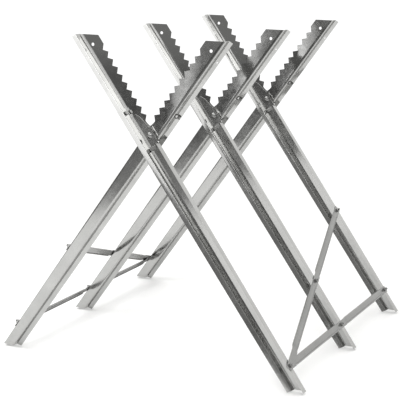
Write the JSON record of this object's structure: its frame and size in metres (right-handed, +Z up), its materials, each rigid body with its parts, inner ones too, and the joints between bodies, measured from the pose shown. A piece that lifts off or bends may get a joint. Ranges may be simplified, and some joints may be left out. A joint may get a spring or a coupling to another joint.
{
  "type": "folding sawhorse",
  "caption": "Folding sheet-metal log sawhorse: crossed legs on pivot bolts, toothed V jaws to hold logs, low and diagonal braces along each side.",
  "frame": {"origin": "on the floor, below the middle pivot bolt, with the legs open", "axes": "+Z up; +X across the spread legs, to the right seen from the front; +Y along the pivot line, from the front frame to the back one"},
  "size_m": [0.8316, 0.8294, 0.8158],
  "materials": {
    "leg_zinc": "galvanised, satin",
    "jaw_zinc": "galvanised, satin",
    "brace_zinc": "galvanised, satin",
    "fastener_zinc": "zinc plated, bright"
  },
  "bodies": {
    "right_frame": {"right_leg_front": "leg_zinc", "left_jaw_front": "jaw_zinc", "right_leg_middle": "leg_zinc", "left_jaw_middle": "jaw_zinc", "right_leg_back": "leg_zinc", "left_jaw_back": "jaw_zinc", "right_low_brace": "brace_zinc", "right_diagonal_brace": "brace_zinc", "pivot_bolt_front": "fastener_zinc", "pivot_spacer_front": "fastener_zinc", "pivot_washer_front": "fastener_zinc", "pivot_nut_front": "fastener_zinc", "stop_pin_front": "fastener_zinc", "pivot_bolt_middle": "fastener_zinc", "pivot_spacer_middle": "fastener_zinc", "pivot_washer_middle": "fastener_zinc", "pivot_nut_middle": "fastener_zinc", "stop_pin_middle": "fastener_zinc", "pivot_bolt_back": "fastener_zinc", "pivot_spacer_back": "fastener_zinc", "pivot_washer_back": "fastener_zinc", "pivot_nut_back": "fastener_zinc", "stop_pin_back": "fastener_zinc", "left_jaw_bolts": "fastener_zinc", "left_jaw_nuts": "fastener_zinc", "right_brace_bolts": "fastener_zinc", "right_brace_nuts": "fastener_zinc"},
    "left_frame": {"left_leg_front": "leg_zinc", "right_jaw_front": "jaw_zinc", "left_leg_middle": "leg_zinc", "right_jaw_middle": "jaw_zinc", "left_leg_back": "leg_zinc", "right_jaw_back": "jaw_zinc", "left_low_brace": "brace_zinc", "left_diagonal_brace": "brace_zinc", "right_jaw_bolts": "fastener_zinc", "right_jaw_nuts": "fastener_zinc", "left_brace_bolts": "fastener_zinc", "left_brace_nuts": "fastener_zinc"}
  },
  "joints": [
    {"name": "fold", "type": "hinge", "parent": "right_frame", "child": "left_frame", "pos_m": [0, 0, 0.582], "axis": [0, -1, 0], "range_deg": [0, 62]}
  ]
}
